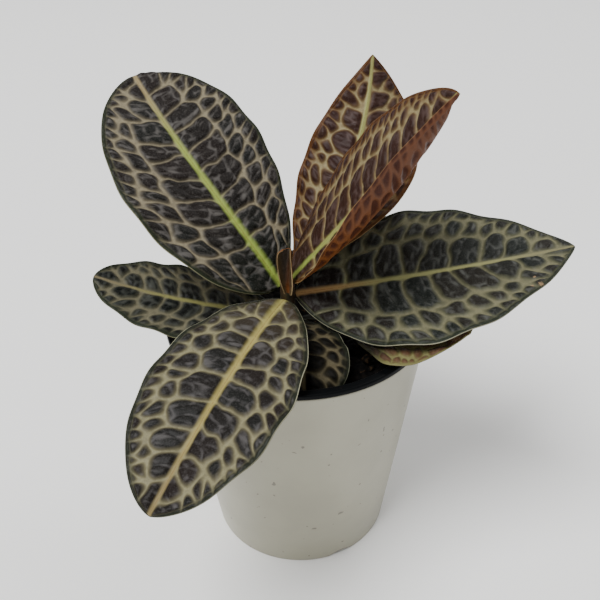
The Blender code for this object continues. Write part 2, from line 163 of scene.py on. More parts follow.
@dataclass(frozen=True)
class Finish:
    """A leaf's colours, as paint() takes them: its cells and those near its base, which are partly
    the leaf's own tint there and partly painted shade near the stem; the haze on them, which is
    partly pale fine veins and partly painted sheen on the puffed cells; the net and its edges, the
    midrib from base to tip, the edge band, the thin rim, and the underside from base to tip with
    its cells.

    Vein widens the net, sharp hardens its edges and halo tints it near the midrib. Reach is how far
    in the edge tints it, in millimetres. Shade is painted shade that darkens the leaf's base, where
    it lies in the shade of another leaf, and gloss is the skin's specular level."""

    cell: tuple = (20, 12, 9)
    cell_other: tuple = (12, 13, 10)
    # cells near the base: partly the leaf's own tint, partly painted shade near the stem
    cell_base: tuple = (13, 18, 13)
    # haze: partly pale fine veins, partly painted sheen on the puffed cells
    haze: tuple = (106, 102, 98)
    net: tuple = (132, 123, 100)
    net_edge: tuple = (78, 72, 60)
    rib_base: tuple = (134, 154, 66)
    rib_middle: tuple = (137, 153, 70)
    rib_tip: tuple = (143, 128, 92)
    edge: tuple = (30, 36, 20)
    rim: tuple = (110, 108, 82)
    under: tuple = (95, 90, 60)
    under_tip: tuple = (95, 80, 60)
    under_cell: tuple = (80, 55, 45)
    vein: float = 0.05
    sharp: float = 1.5
    halo: float = 0.5
    reach: float = 5.0
    # painted shade that darkens the leaf's base
    shade: float = 0.0
    gloss: float = 0.14


GREEN_BLACK = Finish()
KHAKI = Finish(
    cell=(27, 20, 17), cell_other=(18, 19, 17), cell_base=(58, 50, 36), haze=(95, 92, 91),
    net=(129, 124, 94), net_edge=(82, 77, 60), rib_base=(154, 146, 86), rib_middle=(152, 140, 82),
    rib_tip=(128, 114, 76), edge=(28, 32, 21), rim=(150, 148, 124), sharp=1.35)
DEEP_GREEN = Finish(
    cell=(30, 27, 22), cell_other=(22, 26, 23), cell_base=(26, 17, 14), haze=(96, 97, 92),
    net=(112, 109, 84), net_edge=(76, 76, 58), rib_base=(176, 138, 92), rib_middle=(152, 151, 100),
    rib_tip=(118, 115, 86), edge=(30, 36, 25), rim=(140, 138, 116), vein=0.16, sharp=1.3, halo=0.6)
TEAL = Finish(
    cell=(15, 14, 12), cell_other=(10, 14, 12), cell_base=(7, 12, 10), haze=(80, 82, 76),
    net=(110, 105, 84), net_edge=(70, 69, 56), rib_base=(116, 122, 58), rib_middle=(124, 122, 74),
    rib_tip=(118, 109, 84), edge=(36, 42, 30), vein=-0.05, sharp=1.2)
REDDISH = Finish(
    cell=(38, 17, 12), cell_other=(42, 22, 13), cell_base=(40, 24, 15), haze=(84, 68, 64),
    net=(138, 126, 91), net_edge=(84, 64, 41), rib_base=(129, 145, 68), rib_middle=(138, 141, 80),
    rib_tip=(140, 140, 84), edge=(78, 46, 17), rim=(140, 112, 74), under=(106, 60, 24),
    under_tip=(94, 60, 42), under_cell=(56, 24, 15), vein=0.0, reach=9.0)
# Painted shade: this leaf's base lies in shade under the leaf above it, and shade darkens it to the
# near black cell base
OLIVE = Finish(
    cell=(88, 66, 46), cell_other=(80, 56, 40), cell_base=(8, 7, 5), haze=(98, 86, 64),
    net=(124, 121, 80), net_edge=(98, 90, 56), rib_base=(110, 110, 60), rib_middle=(120, 114, 64),
    rib_tip=(124, 112, 66), edge=(104, 102, 62), rim=(124, 120, 82), vein=-0.1, sharp=1.8,
    shade=0.95)
# Painted shade: this leaf lies in the shade of the leaves above it, so all its colours are painted
# darker than the leaf's own
SHADED = Finish(
    cell=(8, 7, 5), cell_other=(7, 7, 6), cell_base=(6, 6, 5), haze=(32, 29, 24),
    net=(84, 77, 58), net_edge=(38, 34, 24), rib_base=(80, 80, 46), rib_middle=(80, 78, 50),
    rib_tip=(80, 72, 52), edge=(26, 29, 20), rim=(160, 160, 136), vein=-0.1, gloss=0.04)
SPROUT = Finish(
    cell=(58, 50, 44), cell_other=(46, 46, 46), cell_base=(80, 50, 30), haze=(90, 82, 78),
    net=(58, 52, 46), net_edge=(66, 54, 42), rib_base=(124, 72, 36), rib_middle=(90, 62, 44),
    rib_tip=(66, 56, 48), edge=(92, 76, 50), rim=(164, 144, 108), under=(112, 70, 36),
    under_tip=(112, 70, 36), under_cell=(84, 52, 32), vein=2.5, sharp=1.0, halo=0.4)


@dataclass(frozen=True)
class Leaf:
    """Pairs are start and end of the midrib (rise, roll), or left and right half (all the others).

    A leaf grows straight out of the stem's side, or stands at a foot: azimuth and reach. Its dry
    spots are given as (place along, place across, size in metres)."""

    name: str
    height: float
    length: float
    azimuth: float
    turn: float
    rise: tuple
    half_width: tuple
    base_power: tuple
    tip_power: tuple
    roll: tuple = (0, 0)
    fold: tuple = (0, 0)
    curl: tuple = (0, 0)
    curl_power: float = 0.0
    rise_power: float = 1.0
    cells: int = 9
    lean: float = 0.35
    wave: float = 0.0008
    waves: float = 5
    foot: tuple = ()
    lump: float = 0.0034
    lump_stretch: float = 0.55
    rib: float = 0.0015
    seed: int = 5
    step: float = 0.0005
    spots: tuple = ()
    finish: Finish = GREEN_BLACK


LEAVES = (
    Leaf("leaf_upper_left", height=0.132, length=0.1284, azimuth=148.5, turn=-28,
         rise=(51.6, 25.7), half_width=(0.0402, 0.0408), base_power=(0.54, 0.615),
         tip_power=(0.66, 0.41), roll=(-8, -2), fold=(3, 1.4), rise_power=0.8, lump=0.0052,
         lump_stretch=0.75, rib=0.0022),
    Leaf("leaf_back", height=0.1335, length=0.1158, azimuth=37.2, turn=44.8, rise=(43.4, 51.8),
         half_width=(0.0246, 0.0299), base_power=(0.86, 1.56), tip_power=(1.01, 0.945),
         roll=(0.5, 21.9), fold=(-7.1, -17.3), seed=15, finish=REDDISH),
    Leaf("leaf_front_folded", height=0.1358, length=0.1138, azimuth=-16.5, turn=-2.7,
         rise=(53.1, 54.5), half_width=(0.0342, 0.0369), base_power=(0.545, 1.02),
         tip_power=(0.684, 0.843), roll=(25.2, 44.3), fold=(-3.4, -4), curl=(-5.4, 120.7),
         curl_power=0.44, rise_power=1.23, foot=(0, 0.0012), cells=11, lean=0.45, wave=0.0004,
         seed=25, finish=REDDISH),
    Leaf("leaf_right", height=0.1292, length=0.125, azimuth=-7, turn=9, rise=(12, 11),
         half_width=(0.0375, 0.0405), base_power=(0.73, 0.82), tip_power=(0.78, 0.85),
         roll=(29, 0), fold=(8, 3), lean=0.3, wave=0.0009, lump=0.0050, lump_stretch=0.6, seed=35,
         spots=((0.80, -0.84, 0.0009), (0.83, -0.93, 0.0012), (0.82, -0.7, 0.0006)),
         finish=DEEP_GREEN),
    Leaf("leaf_lower_left", height=0.1275, length=0.1181, azimuth=-112.8, turn=-5.6,
         rise=(9.4, -25.5), half_width=(0.0338, 0.0300), base_power=(0.82, 0.79),
         tip_power=(0.62, 0.65), roll=(-3, 1), fold=(12, 12), rise_power=0.59, lean=0.3,
         wave=0.0010, lump=0.0054, lump_stretch=0.6, rib=0.0022, seed=45, finish=KHAKI),
    Leaf("leaf_left", height=0.1185, length=0.0865, azimuth=185, turn=-8, rise=(9, 22),
         half_width=(0.024, 0.022), base_power=(0.71, 0.70), tip_power=(0.58, 0.56),
         roll=(-11, -4), fold=(-1, 6), cells=8, seed=55, finish=TEAL),
    Leaf("leaf_front_shaded", height=0.1176, length=0.0531, azimuth=-80.4, turn=-5,
         rise=(9.8, -61.9), half_width=(0.0205, 0.0205), base_power=(0.70, 0.70),
         tip_power=(0.36, 0.36), fold=(5, 5), rise_power=2.6, cells=5, seed=65, finish=SHADED),
    Leaf("leaf_lower_right", height=0.1155, length=0.0845, azimuth=-6.8, turn=-39.7,
         rise=(12.8, 8.9), half_width=(0.020, 0.0317), base_power=(1.3, 1.72),
         tip_power=(0.61, 0.685), roll=(2.5, 23.1), fold=(-4, -3.1), curl=(0, 27), cells=8,
         wave=0.0003, seed=75, spots=((0.955, -0.4, 0.0026),), finish=OLIVE),
    Leaf("young_leaf", height=0.1327, length=0.0218, azimuth=43.6, turn=0, rise=(86.9, 83),
         half_width=(0.0079, 0.0051), base_power=(0.545, 0.39), tip_power=(0.08, 1.3),
         roll=(25.7, 21.7), fold=(31.8, 22.3), curl=(77.3, 51.5), cells=3, wave=0.0,
         foot=(-87.8, 0.0047), seed=85, step=0.0003, finish=SPROUT),
)


# Pieces and grids

def grid_faces(rows, columns):
    """Quads of a grid whose columns close into a ring."""
    row, column = np.meshgrid(np.arange(rows - 1), np.arange(columns), indexing="ij")
    after = (column + 1) % columns
    return np.stack([row * columns + column, (row + 1) * columns + column,
                     (row + 1) * columns + after, row * columns + after], 2).reshape(-1, 4)


def new_piece(name, points, faces, material, node, measures=()):
    """An object of the given points and faces, with measures kept on its points. It stands for a
    CAD node, unless node is None."""
    mesh = bpy.data.meshes.new(name)
    mesh.from_pydata(points.tolist(), [], faces)
    for key, values in dict(measures).items():
        kept = mesh.attributes.new(key, "FLOAT", "POINT")
        kept.data.foreach_set("value", values.astype(np.float32))
    mesh.shade_smooth()
    mesh.materials.append(material)
    piece = bpy.data.objects.new(name, mesh)
    bpy.context.scene.collection.objects.link(piece)
    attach(piece, "root")
    if node:
        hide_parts(node)
    return piece


def smooth_noise(x, y, size, seed):
    """Values from -1 to 1 that vary over the given size: random corners of a square lattice,
    joined by the smooth step s = t^2 (3 - 2t) along both sides of each square."""
    corners = np.random.default_rng(seed).uniform(-1, 1, (LATTICE, LATTICE))
    gx, gy = x / size, y / size
    ix, iy = np.floor(gx).astype(int), np.floor(gy).astype(int)
    sx, sy = (t ** 2 * (3 - 2 * t) for t in (gx - ix, gy - iy))

    def along_row(row):
        start, end = (corners[column % LATTICE, row % LATTICE] for column in (ix, ix + 1))
        return start * (1 - sx) + end * sx

    return along_row(iy) * (1 - sy) + along_row(iy + 1) * sy


def revolve(profile, sides, shape=None):
    """A profile of (radius, height) turned round Z, from its first point to its last, both of them
    on the axis. A shape function may move the radii and heights at each angle."""
    radius, height = np.array(profile[1:-1]).T
    angle = np.linspace(0, 2 * np.pi, sides, endpoint=False)
    R, A = np.meshgrid(radius, angle, indexing="ij")
    Z = np.repeat(height[:, None], sides, 1)
    if shape:
        R, Z = shape(R, Z, A)
    ring = np.stack([R * np.cos(A), R * np.sin(A), Z], 2).reshape(-1, 3)
    poles = [[0, 0, profile[0][1]], [0, 0, profile[-1][1]]]
    points = np.vstack([ring, poles])
    first, last = len(ring), len(ring) + 1
    index = np.arange(sides)
    after = (index + 1) % sides
    end = (len(radius) - 1) * sides
    faces = grid_faces(len(radius), sides)[:, ::-1].tolist()
    faces += np.stack([np.full(sides, first), after, index], 1).tolist()
    faces += np.stack([np.full(sides, last), end + index, end + after], 1).tolist()
    return points, faces


def rounded(start, corner, finish, steps=6):
    """Points of a curve from start to finish bent towards corner: (1-t)^2 a + 2t(1-t) b + t^2 c."""
    t = np.linspace(0, 1, steps)[:, None]
    a, b, c = (np.array(p) for p in (start, corner, finish))
    return ((1 - t) ** 2 * a + 2 * t * (1 - t) * b + t ** 2 * c).tolist()


# A leaf's surface

def stem_radius(height):
    """The stem narrows upwards and swells a little at each ring where a leaf joins it."""
    share = (height - STEM_FOOT) / (STEM_TOP - STEM_FOOT)
    swell = 1 - RING_SWELL * np.sin(np.pi * height / RING_PITCH) ** 2
    return STEM_RADIUS * (1 - STEM_TAPER * share) * swell


def half_width(leaf, u, left):
    """Half the blade's width at u along the midrib: u^a (1-u)^b, and the petiole's own width."""
    a, b, widest = (np.where(left, *pair)
                    for pair in (leaf.base_power, leaf.tip_power, leaf.half_width))
    peak = (a / (a + b)) ** a * (b / (a + b)) ** b
    return widest * u ** a * (1 - u) ** b / peak + PETIOLE_HALF_WIDTH * (1 - u) ** PETIOLE_FADE


def midrib(leaf, u):
    """Points of the midrib at u, with its sideways and upward directions there: the sum of short
    steps whose rise and heading change from the leaf's first values to its last."""
    fine = np.linspace(0, 1, MIDRIB_POINTS)
    rise = np.radians(leaf.rise[0] + (leaf.rise[1] - leaf.rise[0]) * fine ** leaf.rise_power)
    heading = np.radians(leaf.azimuth + leaf.turn * fine)
    level = np.cos(rise)
    ahead = np.stack([level * np.cos(heading), level * np.sin(heading), np.sin(rise)], 1)
    steps = (ahead[1:] + ahead[:-1]) / 2 * leaf.length / (len(fine) - 1)
    at, reach = heading[0], stem_radius(leaf.height) + GAP + RIB_RISE * np.sin(rise[0])
    if leaf.foot:
        at, reach = np.radians(leaf.foot[0]), leaf.foot[1]
    start = np.array([STEM_PLACE[0] + reach * np.cos(at), STEM_PLACE[1] + reach * np.sin(at),
                      leaf.height])
    points = start + np.vstack([np.zeros(3), np.cumsum(steps, axis=0)])
    side = np.stack([-np.sin(heading), np.cos(heading), 0 * heading], 1)
    up = np.cross(ahead, side)
    roll = np.radians(leaf.roll[0] + (leaf.roll[1] - leaf.roll[0]) * fine)[:, None]
    sideways = np.cos(roll) * side + np.sin(roll) * up
    upward = np.cos(roll) * up - np.sin(roll) * side
    return [np.stack([np.interp(u, fine, line[:, k]) for k in range(3)], 1)
            for line in (points, sideways, upward)]


def blade(leaf, u, q, lift):
    """Points of the leaf at u along and q across (-1 to 1), lifted along the blade's own normal.

    Each half is an arc that leaves the midrib at its fold angle and turns to the margin by its
    curl, which grows along the leaf as u^curl_power. The margin waves as q^3 sin(waves u)."""
    left = q >= 0
    turn = np.radians(np.where(left, *leaf.curl)) * u ** leaf.curl_power + 1e-6
    fold = np.radians(np.where(left, *leaf.fold))
    across = np.abs(q)
    angle = fold + turn * across
    width = half_width(leaf, u, left)
    out = width * (np.sin(angle) - np.sin(fold)) / turn
    rise = width * (np.cos(fold) - np.cos(angle)) / turn
    phase = 2 * np.pi * leaf.waves * u + np.where(left, *WAVE_PHASES)
    ripple = leaf.wave * across ** 3 * np.sin(phase)
    sign = np.where(left, 1.0, -1.0)
    lift = lift + ripple * np.sin(np.pi * np.clip(u, 0, 1)) ** 0.5
    out = sign * (out - lift * np.sin(angle))
    rise = rise + lift * np.cos(angle)
    points, sideways, upward = midrib(leaf, u)
    return points + out[:, None] * sideways + rise[:, None] * upward


def even_rows(leaf):
    """Places along the midrib whose points on the wider margin are a step apart, ending just short
    of the tip, where the margin turns across."""
    fine = 1 - (1 - np.linspace(0, 1, 6000)) ** 3
    fine = fine[fine < 1 - 2e-5]
    width = np.maximum(half_width(leaf, fine, True), half_width(leaf, fine, False))
    run = np.hypot(np.diff(fine) * leaf.length, np.diff(width))
    run = np.concatenate([[0], np.cumsum(run)])
    return np.interp(np.arange(0, run[-1], leaf.step * ROW_SPACING), run, fine)


def section(leaf):
    """Places across one ring of the leaf, over the top from right to left and back beneath, and
    how deep each lies: 0 on top, 0.5 on the edge, 1 beneath. The underside has a third of the
    points, unless the leaf rolls up and shows it."""
    across = int(2 * max(leaf.half_width) / leaf.step)
    top = np.linspace(-1, 1, across)
    below = np.linspace(1, -1, across if leaf.curl[1] > ROLLED_CURL else across // 3)
    return (np.concatenate([top, [1], below, [-1]]),
            np.concatenate([0 * top, [0.5], 0 * below + 1, [0.5]]))


# Vein net

def forward(leaf, offset):
    """How far a side vein has run towards the tip at an offset from the midrib: it leaves nearly
    square and bends forward, as lean offset (0.4 + offset / widest)."""
    return leaf.lean * offset * (0.4 + offset / max(leaf.half_width))


def cell_seeds(leaf, side, seed):
    """Middles of the cells on one half, as (along, across) metres, row by row from the midrib."""
    random = np.random.default_rng(seed)
    found = []
    for across, share in CELL_ROWS:
        count = round(leaf.cells * share)
        spacing = leaf.length * (CELLS_TO - CELLS_FROM) / count
        for index in range(count):
            shift, slip = random.uniform(-1, 1, 2)
            u = CELLS_FROM + (CELLS_TO - CELLS_FROM) * (index + 0.5 + CELL_JITTER * shift) / count
            place = across + CELL_SLIP * slip
            along = start = u * leaf.length
            for _ in range(6):
                offset = place * half_width(leaf, np.clip(along / leaf.length, 0, 1), side > 0)
                along = min(start + forward(leaf, offset), 0.99 * leaf.length)
            candidate = np.array([along, offset])
            apart = [np.linalg.norm(candidate - other) for other in found]
            if min(apart, default=1) > CELLS_APART * spacing and offset > CELL_FROM_MIDRIB:
                found.append(candidate)
    return np.array(found)


def border(points, seeds, soft, owners=None):
    """Distance from each point to the border of its nearest seed's cell, and that seed's number.

    Seeds are one set for all points, or a set for each. The border with another seed is their
    bisector, (|p-other|^2 - |p-own|^2) / (2 |own-other|) away. A soft minimum over the others,
    -soft log sum exp(-d / soft), rounds the cell's corners and goes below 0 along the border. Seeds
    from number owners on are mirror images that end the cells, and own no point."""
    seeds = np.broadcast_to(seeds, (len(points), *seeds.shape[-2:]))
    square = ((points[:, None] - seeds) ** 2).sum(2)
    own = square[:, :owners].argmin(1)
    row = np.arange(len(points))
    apart = np.sqrt(((seeds[row, own][:, None] - seeds) ** 2).sum(2))
    gap = (square - square[row, own][:, None]) / (2 * np.maximum(apart, 1e-9))
    gap[row, own] = 1.0
    least = gap.min(1)
    return least - soft * np.log(np.exp(-(gap - least[:, None]) / soft).sum(1)), own


def crackle(points, pitch, soft, seed):
    """Distance to the borders of small cells whose seeds are a lattice of the given pitch, each
    shifted at random within its place; only the 25 lattice places about a point are measured."""
    random = np.random.default_rng(seed)
    shifts = random.uniform(-FINE_JITTER, FINE_JITTER, (LATTICE, LATTICE, 2))
    places = np.stack(np.meshgrid(np.arange(-2, 3), np.arange(-2, 3)), 2).reshape(-1, 2)
    near = np.floor(points / pitch).astype(int)[:, None] + places
    seeds = (near + 0.5 + shifts[near[..., 0] % LATTICE, near[..., 1] % LATTICE]) * pitch
    return border(points, seeds, soft)[0]


def vein_net(leaf, x, y, rim):
    """For points x along and y across the flat blade: distances to the main veins and to the fine
    ones, and a number from 0 to 1 for each cell. Cells are those of jittered rows of seeds, in a
    plane that follows the side veins forward, after a soft noise has bent the plane a little.
    A last vein runs round inside the margin and closes the outer cells."""
    net, fine, tone = (np.zeros(len(x)) for _ in range(3))
    bend = [NET_BEND * smooth_noise(x, y, NET_BEND_WIDTH, leaf.seed + number)
            for number in range(2)]
    for side in (1, -1):
        here = (y >= 0) == (side > 0)
        off = np.abs(y[here])
        seeds = cell_seeds(leaf, side, leaf.seed + side)
        flat = np.stack([x[here] + bend[0][here] - forward(leaf, off), off + bend[1][here]], 1)
        seeds[:, 0] -= forward(leaf, seeds[:, 1])
        cloud = np.vstack([seeds, seeds * (1, -1)])
        net[here], own = border(flat, cloud, CELL_CORNERS, len(seeds))
        tones = np.random.default_rng(leaf.seed + 10 * (side + 1)).uniform(0, 1, len(seeds))
        tone[here] = tones[own]
        fine[here] = crackle(flat * (1, leaf.lump_stretch), leaf.lump, FINE_CORNERS,
                             leaf.seed + 3 + side)
    wander = smooth_noise(x, 0 * y + 0.5 * np.sign(y), LOOP_WANDER_WIDTH, leaf.seed + 2)
    loop = LOOP_INSET + LOOP_WANDER * wander
    closing = np.abs(rim - loop) + 2 * HAIR
    net = -LOOP_CORNERS * np.log(np.exp(-net / LOOP_CORNERS) + np.exp(-closing / LOOP_CORNERS))
    return net, fine, tone


def pillow(distance, size):
    """Rises from 0 at a vein to 1 at size away from it, steep first and then flat."""
    return 1 - (1 - np.clip(distance / size, 0, 1)) ** 2


def relief(u, off, rim, rib, net, fine):
    """How far the upper face rises at a point off the midrib: the cells swell between the veins,
    and fine lumps within them, both flat at the margin and the midrib. The midrib stands up by
    itself, as 1 - rib^2 / 1.6."""
    fade = np.clip(rim / MARGIN_FADE, 0, 1) * np.clip(off / MIDRIB_FADE, 0, 1)
    lumps = FINE_RISE * pillow(fine, FINE_SLOPE) * pillow(net, CELL_SLOPE / 2)
    midrib_rise = RIB_RISE * (1 - 0.6 * u) * np.clip(1 - rib ** 2 / 1.6, 0, 1)
    return (CELL_RISE * pillow(net, CELL_SLOPE) + lumps) * fade + midrib_rise


def thickness(leaf, u, q, rib):
    """The blade's thickness: a third less at the margin, 1 - 0.35 q^8, and a keel beneath the
    midrib, exp(-(rib / 1.1)^2), which dwindles to the tip and is lower on a short leaf."""
    keel = KEEL_DEPTH * min(1, leaf.length / KEEL_FULL_LENGTH) * (1 - 0.7 * u)
    return BLADE_THICKNESS * (1 - 0.35 * np.abs(q) ** 8) + keel * np.exp(-(rib / 1.1) ** 2)


def dryness(leaf, x, y):
    """Near 1 in the leaf's dry spots and 0 away from them: exp(-(distance / size)^2)."""
    dry = 0 * x
    for along, across, size in leaf.spots:
        middle = across * half_width(leaf, along, across > 0)
        square = (x - along * leaf.length) ** 2 + (y - middle) ** 2
        dry = np.maximum(dry, np.exp(-square / size ** 2))
    return dry


def leaf_piece(leaf, material):
    """One closed leaf of rings across it, from base to tip, whose relief and measures are worked
    out on the flat blade before the blade is bent."""
    rows = even_rows(leaf)
    q, deep = section(leaf)
    ring, last = len(q), len(q) * len(rows) - 1
    u, q, deep = np.repeat(rows, ring), np.tile(q, len(rows)), np.tile(deep, len(rows))
    width = half_width(leaf, u, q >= 0)
    x, y = u * leaf.length, q * width
    off = np.abs(y)
    rim = width - off
    rib = off / np.minimum(leaf.rib * (1 - RIB_TAPER * u), 0.5 * width)
    net, fine, tone = vein_net(leaf, x, y, rim)
    lift = relief(u, off, rim, rib, net, fine) - deep * thickness(leaf, u, q, rib)
    bulge = np.where(deep == 0.5, EDGE_BULGE, 0) / np.maximum(width, 2 * EDGE_BULGE)
    points = blade(leaf, u, q * (1 + bulge), lift)
    faces = grid_faces(len(rows), ring).tolist()
    faces += [list(range(ring)), list(range(last, last - ring, -1))]
    measures = {
        "net": net * MILLIMETRES, "fine": fine * MILLIMETRES, "rim": rim * MILLIMETRES,
        "across": off * MILLIMETRES, "run": (x - forward(leaf, off)) * MILLIMETRES,
        "rib": rib, "along": u, "tone": tone, "under": (deep > 0.6) * 1.0,
        "dry": dryness(leaf, x, y)}
    return new_piece(leaf.name + "_blade", points, faces, material, leaf.name, measures=measures)


# Pots, soil and stem

def pot_radius(height):
    """The white pot's outer radius, which widens evenly from its base to its rim."""
    return POT_BASE_RADIUS + (POT_TOP_RADIUS - POT_BASE_RADIUS) * height / POT_HEIGHT


def notched(radius, height, angle):
    """Lifts the bottom edge into arches: what lies outside the notches' depth and below the arch
    height NOTCH_HEIGHT (1 - (2 s / width)^2), s being the way round from the arch's middle."""
    arch = 0 * angle
    for middle in np.radians(NOTCH_ANGLES):
        off = (angle - middle + np.pi) % (2 * np.pi) - np.pi
        share = 2 * off * POT_BASE_RADIUS / NOTCH_WIDTH
        arch = np.maximum(arch, NOTCH_HEIGHT * (1 - share ** 2))
    outer = (radius > NOTCH_INNER_RADIUS + HAIR) & (height < NOTCH_HEIGHT + 2 * HAIR)
    return radius, np.where(outer, np.maximum(height, arch), height)


def white_pot(material):
    """Its profile runs out under the floor, round the foot, up the outside, over the rim and down
    the inside."""
    under = [(radius, 0) for radius in (0, 0.02, NOTCH_INNER_RADIUS, NOTCH_INNER_RADIUS + 2 * HAIR,
                                        NOTCH_INNER_RADIUS + 0.002)]
    edge = rounded((POT_BASE_RADIUS - POT_FOOT_ROUND, 0), (POT_BASE_RADIUS, 0),
                   (pot_radius(POT_FOOT_ROUND), POT_FOOT_ROUND))
    shoulder = POT_HEIGHT - POT_RIM_ROUND
    low = np.linspace(POT_FOOT_ROUND + HAIR, NOTCH_HEIGHT, 8)
    high = np.linspace(0.004, shoulder - HAIR, 24)
    outer = [(pot_radius(z), z) for z in np.concatenate([low, high])]
    rim = rounded((pot_radius(shoulder), shoulder), (POT_TOP_RADIUS, POT_HEIGHT),
                  (POT_TOP_RADIUS - POT_RIM_ROUND, POT_HEIGHT))
    rim += [(POT_TOP_RADIUS - POT_WALL, POT_HEIGHT)]
    inner = [(pot_radius(z) - POT_WALL, z)
             for z in np.linspace(POT_HEIGHT - 0.0006, POT_FLOOR + 0.001, 12)]
    inner += [(pot_radius(POT_FLOOR) - POT_WALL - 0.001, POT_FLOOR), (0, POT_FLOOR)]
    points, faces = revolve(under + edge + outer + rim + inner, POT_SIDES, notched)
    return new_piece("white_pot_shell", points, faces, material, "white_pot")


def nursery_pot(material):
    """The thin liner and its rolled lip."""
    inner = LIP_RADIUS - LIP_WIDTH
    foot, seat = (pot_radius(z) - POT_WALL - LINER_GAP for z in (LINER_FOOT, LIP_BOTTOM))
    profile = [(0, LINER_FOOT), (foot, LINER_FOOT)]
    profile += [(seat, LIP_BOTTOM - 2 * HAIR), (seat, LIP_BOTTOM)]
    profile += rounded((LIP_RADIUS - LIP_UNDER_ROUND, LIP_BOTTOM), (LIP_RADIUS, LIP_BOTTOM),
                       (LIP_RADIUS, LIP_BOTTOM + LIP_UNDER_ROUND))
    profile += rounded((LIP_RADIUS, LIP_TOP - LIP_ROUND), (LIP_RADIUS, LIP_TOP),
                       (LIP_RADIUS - LIP_ROUND, LIP_TOP))
    profile += rounded((inner + LIP_ROUND, LIP_TOP), (inner, LIP_TOP),
                       (inner - 2 * HAIR, LIP_TOP - LIP_ROUND))
    floor_level = LINER_FOOT + LINER_FLOOR
    profile += [(foot - LINER_FLOOR, floor_level), (0, floor_level)]
    points, faces = revolve(profile, LINER_SIDES)
    return new_piece("nursery_pot_shell", points, faces, material, "nursery_pot")


def soil(material):
    """A plug whose top is lumpy: noise of three sizes on the level surface."""
    wall = pot_radius(SOIL_LEVEL) - POT_WALL - SOIL_TOP_INSET
    foot = pot_radius(LINER_FOOT) - POT_WALL - SOIL_FOOT_INSET

    def lumps(radius, height, angle):
        x, y = radius * np.cos(angle), radius * np.sin(angle)
        noise = sum(rise * smooth_noise(x, y, width, seed)
                    for seed, (rise, width) in enumerate(SOIL_LUMPS, 1))
        return radius, np.where(height > SOIL_LEVEL - 0.001, height + noise, height)

    profile = [(0, SOIL_FOOT), (foot, SOIL_FOOT), (wall, SOIL_LEVEL - 0.003)]
    profile += [(radius, SOIL_LEVEL) for radius in np.linspace(wall, 0.0005, SOIL_RINGS)]
    profile += [(0, SOIL_LEVEL)]
    points, faces = revolve(profile, SOIL_SIDES, lumps)
    return new_piece("soil_surface", points, faces, material, "soil")


def turned(bodies, angles, first, second):
    """Bodies of points, each turned by its own angle from one axis towards another."""
    cos, sin = np.cos(angles)[:, None], np.sin(angles)[:, None]
    made = bodies.copy()
    made[..., first] = bodies[..., first] * cos - bodies[..., second] * sin
    made[..., second] = bodies[..., first] * sin + bodies[..., second] * cos
    return made


def potting_bits(material):
    """Bark bits and crumbs on the soil: flat ellipsoids, each squashed, turned and set down. The
    first is the large piece of bark."""
    random = np.random.default_rng(3)
    count, around, down = BIT_COUNT, 8, 5
    theta, phi = np.meshgrid(np.linspace(0, 2 * np.pi, around, endpoint=False),
                             np.linspace(0.3, np.pi - 0.3, down))
    ball = np.stack([np.sin(phi) * np.cos(theta), np.sin(phi) * np.sin(theta), np.cos(phi)], 2)
    ball = ball.reshape(-1, 3)
    size = random.uniform(0.4, 1.0, (count, 1)) ** 2 * BIT_SIZE
    size = size * random.uniform(0.6, 1.2, (count, 3))
    turn, tip = random.uniform(0, np.pi, count), random.uniform(-0.5, 0.5, count)
    lump = 1 + BIT_LUMPS * random.uniform(-1, 1, (count, len(ball), 1))
    body = turned(turned(ball[None] * size[:, None] * lump, tip, 0, 2), turn, 0, 1)
    place = random.uniform(0, 2 * np.pi, count)
    radius = BIT_SPREAD * random.uniform(0.02, 1, count) ** 0.5
    level = np.full(count, SOIL_LEVEL + BIT_LIFT)
    at = np.stack([radius * np.cos(place), radius * np.sin(place), level], 1)
    at[0], body[0] = BARK_PLACE, ball * BARK_SIZE * lump[0]
    points = (body + at[:, None]).reshape(-1, 3)
    tone = np.repeat(random.uniform(0, 1, count), len(ball))
    first = np.arange(around)
    caps = np.stack([first, first[::-1] + len(ball) - around])
    offsets = len(ball) * np.arange(count)[:, None, None]
    faces = (grid_faces(down, around)[None] + offsets).reshape(-1, 4).tolist()
    faces += (caps[None] + offsets).reshape(-1, around).tolist()
    return new_piece("potting_bits", points, faces, material, None, {"tone": tone})


def stem(material):
    """The upright stem, ringed at its nodes, with a rounded top."""
    heights = np.linspace(SOIL_LEVEL - STEM_IN_SOIL, STEM_TOP - 0.0006, 60)
    profile = [(0, heights[0])] + [(stem_radius(z) + HAIR, z) for z in heights]
    shoulder = profile[-1][0]
    profile += rounded(profile[-1], (shoulder, STEM_TOP),
                       (shoulder - STEM_ROUND, STEM_TOP + 2 * HAIR))
    points, faces = revolve(profile + [(0, STEM_TOP + 3 * HAIR)], 48)
    return new_piece("stem_rod", points + (*STEM_PLACE, 0), faces, material, "stem")


# Materials

COLOUR, NUMBER = "NodeSocketColor", "NodeSocketFloat"
SKIN_FIELDS = tuple(field for field in fields(Finish) if field.name != "gloss")
SKIN_MEASURES = ("net", "fine", "rim", "across", "run", "rib", "along", "tone", "under", "dry")


def paint(red, green, blue):
    """A surface colour from its 0 to 255 values as seen in the soft light."""
    seen = np.array([red, green, blue]) / 255
    return (*np.where(seen < 0.04045, seen / 12.92, ((seen + 0.055) / 1.055) ** 2.4), 1.0)


